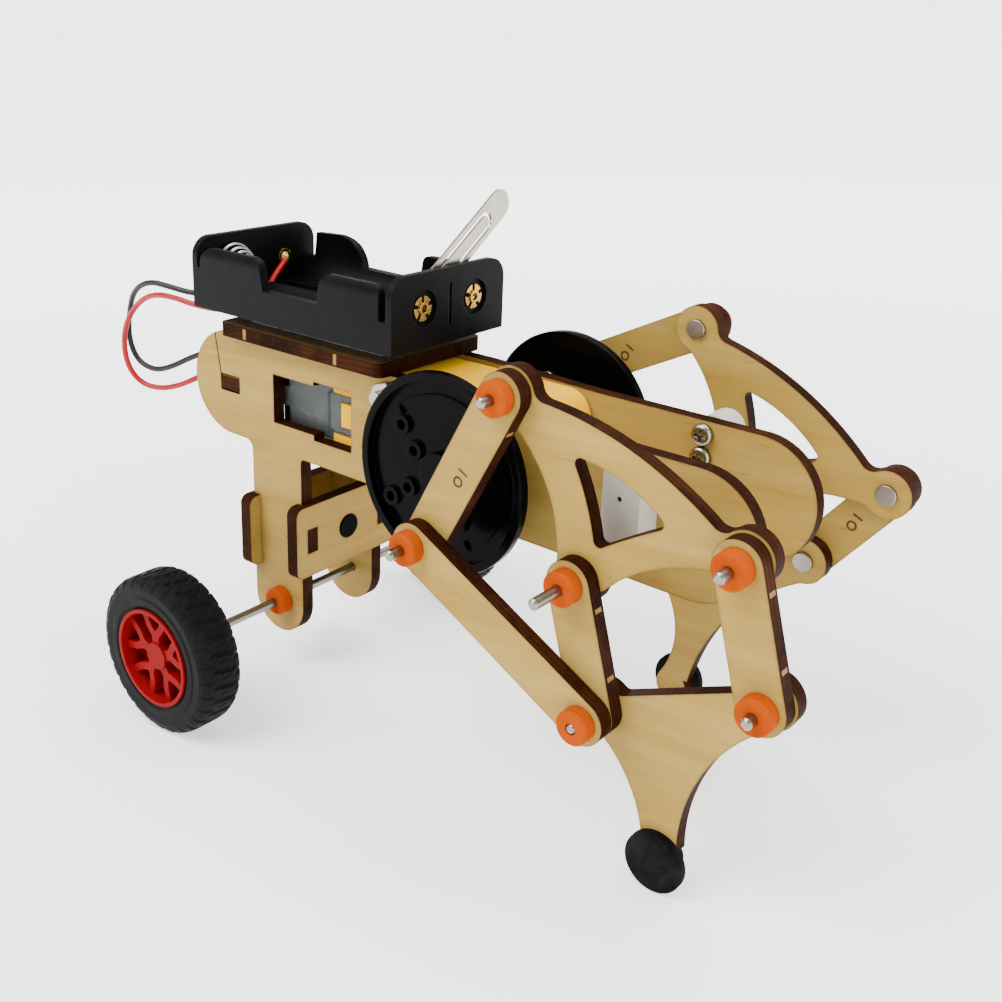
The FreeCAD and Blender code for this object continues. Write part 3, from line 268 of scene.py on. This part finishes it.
def metal(name, col, rough=0.25, aniso=(1, 1, 1), tint=None, bev=0.0001):
    m = Mat(name)
    n1 = m.noise(1.0, 4.0, 0.6, 0.2, m.stretch(tuple(260.0 * a for a in aniso)))
    n2 = m.noise(90.0, 3.0, 0.6, 0.6)
    base = m.mix(m.range(n2, 0.35, 0.75, 0.0, 0.5), col, tint if tint else tuple(c * 0.72 for c in col))
    r = m.math("ADD", m.range(n1, 0.3, 0.7, rough - 0.07, rough + 0.09), m.range(n2, 0.4, 0.8, 0.0, 0.08))
    nrm = m.bump(n1, 0.00003, 0.3, m.bevel(bev))
    m.set(color=base, metal=1.0, rough=r, normal=nrm)
    return m.m


def clear(name):
    m = Mat(name)
    n1 = m.noise(160.0, 3.0, 0.5, 0.4)
    m.set(color=m.mix(m.range(n1, 0.3, 0.7, 0.0, 1.0), (0.16, 0.17, 0.165), (0.10, 0.11, 0.11)), rough=m.range(n1, 0.3, 0.7, 0.10, 0.2), spec=0.3,
          normal=m.bump(n1, 0.00008, 0.4, m.bevel(0.00015)))
    tr = m.n("ShaderNodeBsdfTransparent")
    tr.inputs[0].default_value = (0.93, 0.96, 0.96, 1)
    fr = m.n("ShaderNodeFresnel")
    fr.inputs[0].default_value = 1.5
    f = m.math("ADD", m.math("MULTIPLY", fr.outputs[0], 0.9), m.range(n1, 0.3, 0.7, 0.10, 0.26), clamp=True)
    mx = m.n("ShaderNodeMixShader")
    m.link(f, mx.inputs[0])
    m.link(tr.outputs[0], mx.inputs[1])
    m.link(m.b.outputs[0], mx.inputs[2])
    m.link(mx.outputs[0], m.out.inputs["Surface"])
    return m.m


def foam(name, col, scale=2200.0, spec=0.15):
    m = Mat(name)
    v = m.n("ShaderNodeTexVoronoi")
    m.link(m.tc.outputs["Object"], v.inputs["Vector"])
    v.inputs["Scale"].default_value = scale
    n = m.noise(220.0, 4.0, 0.6)
    base = m.mix(m.range(n, 0.3, 0.75, 0.0, 1.0), col, tuple(min(1, c * 1.8 + 0.01) for c in col))
    base = m.mix(m.range(v.outputs["Distance"], 0.0, 0.4, 0.5, 0.0), base, tuple(c * 0.3 for c in col))
    h = m.math("ADD", m.math("MULTIPLY", v.outputs["Distance"], 1.0), n)
    m.set(color=base, rough=m.range(n, 0.3, 0.7, 0.78, 0.92), spec=spec, normal=m.bump(h, 0.00012, 0.6, m.bevel(0.0003)))
    return m.m


def rubber(name, col, rough=0.55, spec=0.25):
    m = Mat(name)
    n = m.noise(120.0, 4.0, 0.6, 0.3)
    f = m.noise(1600.0, 2.0, 0.6)
    base = m.mix(m.range(n, 0.3, 0.7, 0.0, 1.0), col, tuple(min(1, c * 1.5 + 0.002) for c in col))
    # painted highlight: the colour is made lighter near corners, standing in for light catching the rounded edges
    base = m.mix(m.math("MULTIPLY", m.edge(0.0004, 1.0, 6), 0.4), base, tuple(min(1, c * 1.6 + 0.006) for c in col))
    m.set(color=base, rough=m.range(n, 0.3, 0.7, rough - 0.08, rough + 0.1), spec=spec, normal=m.bump(f, 0.00004, 0.4, m.bevel(0.00025)))
    return m.m


def brass(name):
    m = Mat(name)
    n = m.noise(500.0, 3.0, 0.6)
    n2 = m.noise(180.0, 2.0, 0.6)
    base = m.mix(m.range(n2, 0.3, 0.7, 0.0, 1.0), (0.62, 0.40, 0.10), (0.36, 0.20, 0.04))
    m.set(color=base, metal=1.0, rough=m.range(n, 0.3, 0.7, 0.16, 0.32), normal=m.bump(n, 0.00003, 0.3, m.bevel(0.0001)))
    return m.m


PLY_Y = [ply("ply_a", "y", 1.0, 4), ply("ply_b", "y", 0.95, 62), ply("ply_c", "y", 1.03, -58), ply("ply_d", "y", 0.98, 84)]
PLY_FRAME = ply("ply_frame", "y", 0.97, 2)
PLY_X = ply("ply_cross", "x", 0.93, 3)
# painted shade: the deck's wood is darkened (tone 0.32) because the deck lies in shadow under the battery holder; dark
# 0.85 also makes its burnt edges a little darker
PLY_DECK_SHADED = ply("ply_deck_painted_shade", "z", 0.32, 2, 0.85)
PLY_TAIL = ply("ply_tail", "z", 0.95, 3)
HOLDER = plastic("holder_black", (0.0016, 0.0016, 0.0019), 0.40, (0.0028, 0.0028, 0.0032), 120.0, grain=0.5, dust=0.004, spec=0.05)
DISC = plastic("disc_black", (0.0007, 0.0007, 0.0009), 0.20, (0.0012, 0.0012, 0.0014), 40.0, dust=0.002, var=0.04, spec=0.03)
YELLOW = plastic("gearbox_yellow", (0.72, 0.38, 0.0), 0.42, (0.62, 0.31, 0.0), 40.0, spec=0.015)
ORANGE = plastic("bush_orange", (0.36, 0.052, 0.0), 0.48, (0.29, 0.037, 0.0), 120.0, spec=0.015)
NYLON = plastic("nylon_white", (0.48, 0.48, 0.43), 0.38, (0.40, 0.40, 0.36), 90.0, sss=0.3, spec=0.3)
RED = plastic("rim_red", (0.21, 0.003, 0.004), 0.42, (0.16, 0.002, 0.003), 90.0, spec=0.03)
TYRE = rubber("tyre_black", (0.0022, 0.0022, 0.0025), 0.52, 0.05)
PAD = foam("pad_black", (0.0018, 0.0018, 0.002), spec=0.03)
FOAM = foam("tape_grey", (0.26, 0.26, 0.24))
CAP = plastic("cap_black", (0.0015, 0.0015, 0.0015), 0.42, None, 120.0, grain=0.3, spec=0.04)
PLUG = plastic("plug_black", (0.001, 0.001, 0.001), 0.30, None, 200.0, spec=0.02)
GEARW = plastic("gear_white", (0.82, 0.81, 0.76), 0.4, None, 120.0, sss=0.2)
STEEL = metal("pin_steel", (0.24, 0.22, 0.19), 0.28)
AXLE = metal("axle_steel", (0.24, 0.23, 0.21), 0.28, (2.0, 0.2, 2.0))
NICKEL = metal("nickel_plate", (0.30, 0.28, 0.24), 0.20)
LEVER = metal("lever_plate", (0.38, 0.35, 0.29), 0.24, (1, 0.4, 1))
SPRING = metal("spring_wire", (0.42, 0.41, 0.39), 0.18)
CAN = metal("can_zinc", (0.085, 0.087, 0.080), 0.36, (0.3, 1, 1))
BRASS = brass("brass")
CLEAR = clear("strap_clear")
WRED = rubber("wire_red", (0.24, 0.001, 0.002), 0.38)
WBLACK = rubber("wire_black", (0.004, 0.004, 0.004), 0.38)


def paint(o, mat):
    if not o.material_slots:
        o.data.materials.append(mat)
    for s in o.material_slots:
        s.link = "OBJECT"
        s.material = mat


LOOK = {
    "battery_holder": HOLDER, "battery_terminals": BRASS, "battery_spring": SPRING, "switch_lever": LEVER, "deck_plate": PLY_DECK_SHADED, "foam_tape": FOAM,
    "tail_plate": PLY_TAIL, "cross_plate_front": PLY_X, "cross_plate_rear": PLY_X, "plate_plugs": PLUG, "side_frame_left": PLY_FRAME, "side_frame_right": PLY_FRAME,
    "gearbox_shell_left": YELLOW, "gearbox_shell_right": YELLOW, "motor_can": CAN, "motor_end_cap": CAP, "motor_strap": CLEAR, "motor_terminals": BRASS, "motor_rotor": STEEL,
    "motor_screws_nuts": NICKEL, "pivot_block_screws": NICKEL, "pivot_blocks": NYLON, "pivot_pins": STEEL, "pivot_bushes": ORANGE, "axle_bushes": ORANGE, "rear_axle": AXLE,
    "wheel_rims": RED, "tyre_left": TYRE, "tyre_right": TYRE, "crank_discs": DISC, "crank_pins": STEEL, "crank_bushes": ORANGE, "output_shaft": GEARW, "compound_gear": GEARW,
    "crown_gear": GEARW, "gear_pins": STEEL, "wire_red": WRED, "wire_black": WBLACK,
}
for i, side in enumerate(("left", "right")):
    LOOK.update({
        "rocker_" + side: PLY_Y[0], "foot_" + side: PLY_Y[3], "upper_link_" + side: PLY_Y[1], "lower_link_" + side: PLY_Y[2], "rear_link_" + side: PLY_Y[3],
        "front_link_" + side: PLY_Y[3], "foot_pad_" + side: PAD, "foot_pins_" + side: STEEL, "foot_bushes_" + side: ORANGE, "rocker_pins_" + side: STEEL, "rocker_bushes_" + side: ORANGE})
for name, o in N.items():
    paint(o, LOOK[name])


# ---------------------------------------------------------------- mesh helpers
def new_mesh(name, verts, faces, mat, smooth=False):
    me = bpy.data.meshes.new(name)
    me.from_pydata([tuple(v) for v in verts], [], faces)
    me.validate()
    me.update()
    if smooth:
        for f in me.polygons:
            f.use_smooth = True
    o = bpy.data.objects.new(name, me)
    bpy.context.scene.collection.objects.link(o)
    me.materials.append(mat)
    return o


def curve(name, pts, radius, mat, kind="NURBS", res=8):
    cu = bpy.data.curves.new(name, "CURVE")
    cu.dimensions = "3D"
    cu.bevel_depth = radius
    cu.bevel_resolution = 6
    cu.resolution_u = res
    cu.use_fill_caps = True
    sp = cu.splines.new(kind)
    sp.points.add(len(pts) - 1)
    for q, p in zip(sp.points, pts):
        q.co = (*p, 1.0)
    if kind == "NURBS":
        sp.order_u = 3
        sp.use_endpoint_u = True
    o = bpy.data.objects.new(name, cu)
    bpy.context.scene.collection.objects.link(o)
    cu.materials.append(mat)
    return o


# ---------------------------------------------------------------- wires
BLACK_PTS = [(-74.05, -7.7, 19.2), (-79.2, -7.9, 18.5), (-84.6, -9.3, 17.9), (-90.0, -11.0, 18.8), (-95.6, -12.1, 19.3), (-101.2, -12.4, 16.6),
              (-105.6, -11.1, 10.4), (-107.3, -10.5, 3.2), (-105.4, -9.8, -2.0), (-100.2, -9.0, -3.6),
              (-95.0, -8.2, -2.0), (-89.0, -6.6, 1.4), (-82.6, -5.4, 4.2), (-76.4, -4.7, 4.9), (-70.2, -4.6, 4.4), (-64.4, -4.6, 3.7), (-60.8, -4.6, 3.4), (-57.4, -4.6, 3.4)]
RED_PTS = [(-71.2, 7.1, 25.3), (-70.6, 5.0, 24.0), (-69.8, 2.4, 22.4), (-69.2, 0.2, 20.4), (-69.1, -1.9, 17.6), (-71.4, -5.6, 15.6), (-75.6, -8.6, 15.5), (-81.4, -10.8, 15.9),
            (-88.2, -12.0, 17.0), (-94.8, -12.4, 16.4), (-100.7, -12.3, 13.2), (-104.8, -12.7, 8.0), (-106.8, -12.4, 2.4),
            (-106.6, -11.7, -3.6), (-103.4, -10.4, -7.3), (-98.2, -9.0, -7.8), (-92.6, -7.9, -6.1), (-87.0, -6.6, -3.2), (-81.0, -4.6, 0.6), (-75.4, -2.2, 3.6), (-69.0, 1.4, 4.4), (-62.8, 4.2, 3.6), (-57.4, 4.6, 3.4)]
for nm, pts, ln, mat in (("cord_black", BLACK_PTS, 0.0986, WBLACK), ("cord_red", RED_PTS, 0.1228, WRED)):
    P = [place(p) for p in pts]
    w = curve(nm, P, 0.00065, mat)
    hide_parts("wire_black" if nm == "cord_black" else "wire_red")
    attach(w, "chassis")


# ---------------------------------------------------------------- tyres with block tread
def tyre(side, s):
    ax, az = -52.6, -46.5
    yo = 48.1
    y0, y1 = yo - 9.9, yo + 0.2
    R, RR = 17.0, 10.4
    prof = [(RR, y0 + 0.2, 0), (RR + 1.2, y0, 0), (R - 4.2, y0 + 0.02, 0), (R - 4.0, y0 + 0.18, 0), (R - 2.2, y0 + 0.12, 0), (R - 1.2, y0 + 0.4, 1), (R - 0.4, y0 + 1.0, 1), (R - 0.05, y0 + 1.9, 1),
            (R, y0 + 2.9, 2), (R, y0 + 3.9, 2), (R, y0 + 4.2, 3), (R, y1 - 4.2, 3), (R, y1 - 3.9, 2), (R, y1 - 2.9, 2),
            (R - 0.05, y1 - 1.9, 1), (R - 0.4, y1 - 1.0, 1), (R - 1.2, y1 - 0.4, 1), (R - 2.2, y1 - 0.12, 0), (R - 4.0, y1 - 0.18, 0), (R - 4.2, y1 - 0.02, 0), (RR + 1.2, y1, 0), (RR + 0.4, y1 - 0.35, 0), (RR, y1 - 0.5, 0)]
    blocks = 30
    per = 8
    n = blocks * per
    verts, faces = [], []
    for i in range(n):
        ph = 2 * math.pi * i / n
        k = i % per
        b = i // per
        for j, (r, y, band) in enumerate(prof):
            cut = 0.0
            lean = (y - (y0 + y1) / 2) / (y1 - y0)
            if band == 1:
                cut = 0.35 if k in (0, 7) else 0.0
            elif band == 2:
                kk = (i + (3 if lean > 0 else 5)) % per
                cut = 0.4 if kk in (0, 7) else 0.0
            elif band == 3:
                cut = 0.45 if k in (3, 4) else (0.0 if k not in (0,) else 0.2)
            rr = r - cut
            tw = 0.06 * abs(lean)
            verts.append(place((ax + rr * math.cos(ph + tw), s * y, az + rr * math.sin(ph + tw))))
    m = len(prof)
    for i in range(n):
        a, b2 = i * m, ((i + 1) % n) * m
        for j in range(m - 1):
            f = (a + j, a + j + 1, b2 + j + 1, b2 + j)
            faces.append(f if s > 0 else f[::-1])
        f = (a + m - 1, a, b2, b2 + m - 1)
        faces.append(f if s > 0 else f[::-1])
    o = new_mesh("tread_" + side, verts, faces, TYRE)
    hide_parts("tyre_" + side)
    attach(o, "rear_wheels")
    return o


tyre("right", -1)
tyre("left", 1)

# ---------------------------------------------------------------- cell spring
pts = []
turns = 4.2
for i in range(int(turns * 24) + 1):
    t = i / (turns * 24)
    r = 5.35 - 2.7 * t
    a = 2 * math.pi * turns * t
    pts.append(place((-72.1 + 0.45 + 5.6 * (t ** 0.9), -7.7 + r * math.cos(a), 25.6 + r * math.sin(a))))
sp = curve("cell_spring", pts, 0.00038, SPRING, "NURBS", 4)
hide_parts("battery_spring")
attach(sp, "chassis")

# ---------------------------------------------------------------- laser nibs and burnt signs
NIB = plastic("nib_pale", (0.30, 0.16, 0.055), 0.6, (0.16, 0.07, 0.02), 900.0, spec=0.1)
SIGN = plastic("sign_burnt", (0.050, 0.020, 0.007), 0.7, (0.11, 0.05, 0.018), 900.0, spec=0.05)


def patch(name, body, corners, mat):
    o = new_mesh(name, [place(c) for c in corners], [(0, 1, 2, 3)], mat)
    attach(o, body)
    return o


def nib(name, body, a, b, t, y0, y1, side=-1):
    """Pale uncut nib on the long edge of a straight link from a to b, t from a."""
    d = math.hypot(b[0] - a[0], b[1] - a[1])
    u = ((b[0] - a[0]) / d, (b[1] - a[1]) / d)
    n = (-u[1] * side * -1, u[0] * side * -1)
    e = 4.2 + 0.03
    q = []
    for dt, y in ((-0.4, y0), (0.4, y0), (0.4, y1), (-0.4, y1)):
        q.append((a[0] + u[0] * (t + dt) + n[0] * e, y, a[1] + u[1] * (t + dt) + n[1] * e))
    patch(name, body, q, NIB)


def sign(name, body, c, ang, y, out):
    """Small burnt sign, a ring with a bar beside it, on a plate face at y."""
    yy = y + 0.025 * out
    verts, faces = [], []
    n = 28
    ca, sa = math.cos(math.radians(ang)), math.sin(math.radians(ang))

    def put(x, z):
        verts.append(place((c[0] + x * ca - z * sa, yy, c[1] + x * sa + z * ca)))

    for i in range(n):
        a = 2 * math.pi * i / n
        put(-0.9 + 1.05 * math.cos(a), 1.05 * math.sin(a))
        put(-0.9 + 0.62 * math.cos(a), 0.62 * math.sin(a))
    for i in range(n):
        j = (i + 1) % n
        faces.append((2 * i, 2 * i + 1, 2 * j + 1, 2 * j))
    k = len(verts)
    for x, z in ((1.1, -1.05), (1.55, -1.05), (1.55, 1.05), (1.1, 1.05)):
        put(x, z)
    faces.append((k, k + 1, k + 2, k + 3))
    o = new_mesh(name, verts, faces, SIGN)
    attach(o, body)


pv, kr, fr_, gr = (35.9, -6.75), (42.05, -28.34), (65.15, 5.97), (71.30, -15.62)
ar, tr = (4.78, -8.44), (20.74, 21.88)
nib("nib_1", "upper_link_body_right", ar, tr, 29.1, -30.3, -28.6, 1)
nib("nib_2", "front_link_body_right", fr_, gr, 4.5, -30.2, -28.4)
nib("nib_3", "front_link_body_right", fr_, gr, 16.4, -30.2, -28.4)
nib("nib_4", "rear_link_body_right", pv, kr, 4.7, -30.2, -28.4)
nib("nib_5", "rear_link_body_right", pv, kr, 16.4, -30.2, -28.4)
for i, x in enumerate((-59.3, -32.4)):
    patch("nib_deck_%d" % (i + 1), "chassis", [(x - 0.45, -15.63, 13.1), (x + 0.45, -15.63, 13.1), (x + 0.45, -15.63, 15.3), (x - 0.45, -15.63, 15.3)], NIB)
sign("sign_1", "upper_link_body_right", (12.9, 5.6), 62.0, -30.8, -1)
sign("sign_2", "upper_link_body_left", (8.5, 15.3), 62.0, 27.8, -1)
sign("sign_3", "front_link_body_left", (60.5, -7.3), 64.0, 27.8, -1)

# ---------------------------------------------------------------- floor and light
me = bpy.data.meshes.new("floor")
me.from_pydata([(-60, -60, 0), (60, -60, 0), (60, 60, 0), (-60, 60, 0)], [], [(0, 1, 2, 3)])
floor = bpy.data.objects.new("floor", me)
bpy.context.scene.collection.objects.link(floor)
fm = Mat("floor_white")
fn = fm.noise(30.0, 3.0, 0.5)
fm.set(color=fm.mix(fm.range(fn, 0.3, 0.7, 0.0, 1.0), (0.86, 0.86, 0.865), (0.845, 0.845, 0.855)), rough=fm.range(fn, 0.3, 0.7, 0.5, 0.6), spec=0.2)
fm.b.inputs["Emission Color"].default_value = (1.0, 1.0, 1.0, 1.0)
fg = fm.n("ShaderNodeVectorMath", operation="LENGTH")
fm.link(fm.tc.outputs["Object"], fg.inputs[0])
fm.put(fm.b.inputs["Emission Strength"], fm.range(fg.outputs["Value"], 0.10, 0.75, 0.9, 3.0))
me.materials.append(fm.m)

world = bpy.data.worlds.new("studio")
bpy.context.scene.world = world
world.use_nodes = True
bg = world.node_tree.nodes["Background"]
bg.inputs[0].default_value = (0.98, 0.99, 1.0, 1)
wt = world.node_tree
wc = wt.nodes.new("ShaderNodeTexCoord")
ws = wt.nodes.new("ShaderNodeSeparateXYZ")
wt.links.new(wc.outputs["Generated"], ws.inputs[0])
wr = wt.nodes.new("ShaderNodeMapRange")
wt.links.new(ws.outputs[2], wr.inputs[0])
for i, v in enumerate((0.04, 0.16, 3.7, 0.85)):
    wr.inputs[i + 1].default_value = v
wt.links.new(wr.outputs[0], bg.inputs[1])


def area(name, pos, target, w, h, power, col=(1, 1, 1)):
    l = bpy.data.lights.new(name, "AREA")
    l.shape = "RECTANGLE"
    l.size, l.size_y = w, h
    l.energy = power
    l.color = col
    o = bpy.data.objects.new(name, l)
    bpy.context.scene.collection.objects.link(o)
    o.location = pos
    d = Vector(target) - Vector(pos)
    o.rotation_euler = d.to_track_quat("-Z", "Y").to_euler()
    return o


area("key", (-0.25, -0.45, 0.75), (0, 0, 0.05), 0.6, 0.6, 14.0, (1.0, 0.99, 0.97))
area("top", (0.15, 0.35, 0.9), (0, 0, 0.05), 0.8, 0.5, 10.0)
area("side", (0.75, -0.15, 0.35), (0, 0, 0.05), 0.4, 0.5, 3.5)
